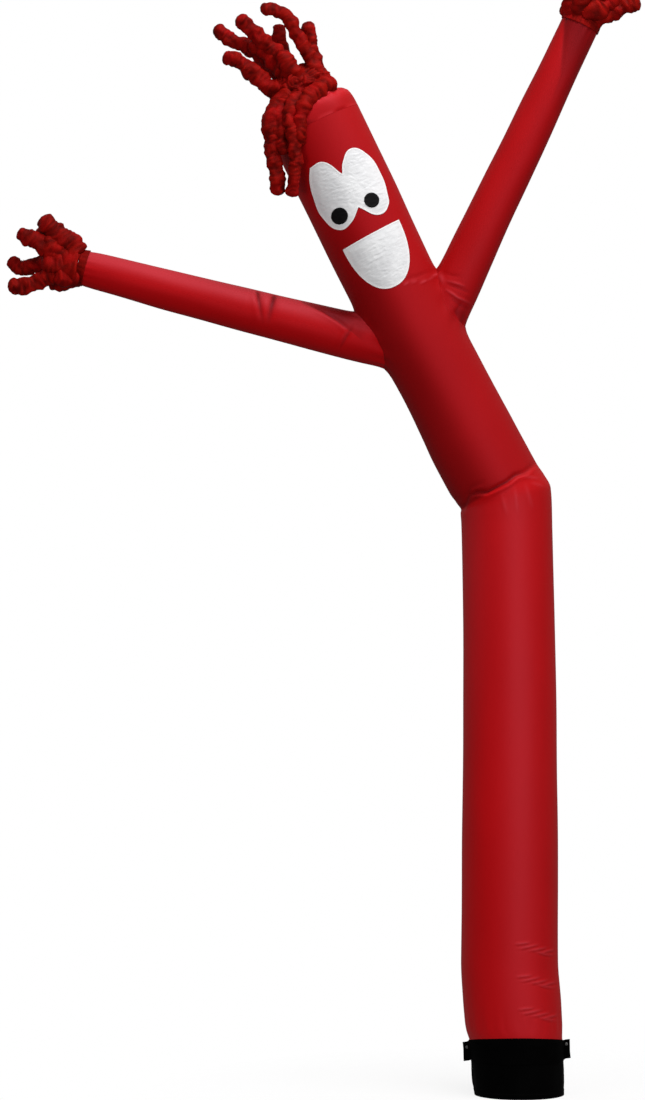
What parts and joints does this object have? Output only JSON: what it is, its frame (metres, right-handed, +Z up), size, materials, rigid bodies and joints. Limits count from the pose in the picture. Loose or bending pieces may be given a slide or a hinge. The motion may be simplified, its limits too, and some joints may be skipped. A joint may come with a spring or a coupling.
{
  "type": "inflatable air dancer",
  "caption": "Wind-blown fabric tube figure with two raised arms, a smiling face, ruched fringe hair and hands, and an open canvas cuff at its base.",
  "frame": {"origin": "centre of the cuff's bottom hem, where the sleeve goes over the fan's outlet ring", "axes": "+Z up, -Y the front with the face, +X to the right as seen from the front"},
  "size_m": [3.3108, 0.5466, 5.8147],
  "materials": {
    "nylon_red": "coated ripstop nylon, satin",
    "nylon_white": "white nylon patch, lightly wrinkled",
    "nylon_black": "black nylon patch",
    "fringe_red": "ruched dark red nylon",
    "canvas_black": "matt black canvas",
    "webbing_black": "woven black webbing",
    "rivet_steel": "dull nickel-plated steel"
  },
  "bodies": {
    "root": {"body_tube": "nylon_red", "head_cap": "nylon_red", "arm_left": "nylon_red", "arm_right": "nylon_red", "eyes": "nylon_white", "mouth": "nylon_white", "pupil_left": "nylon_black", "pupil_right": "nylon_black", "hair": "fringe_red", "hand_fringe_left": "fringe_red", "hand_fringe_right": "fringe_red", "cuff": "canvas_black", "strap_front": "webbing_black", "strap_back": "webbing_black", "rivet_left": "rivet_steel", "rivet_right": "rivet_steel"}
  },
  "joints": []
}
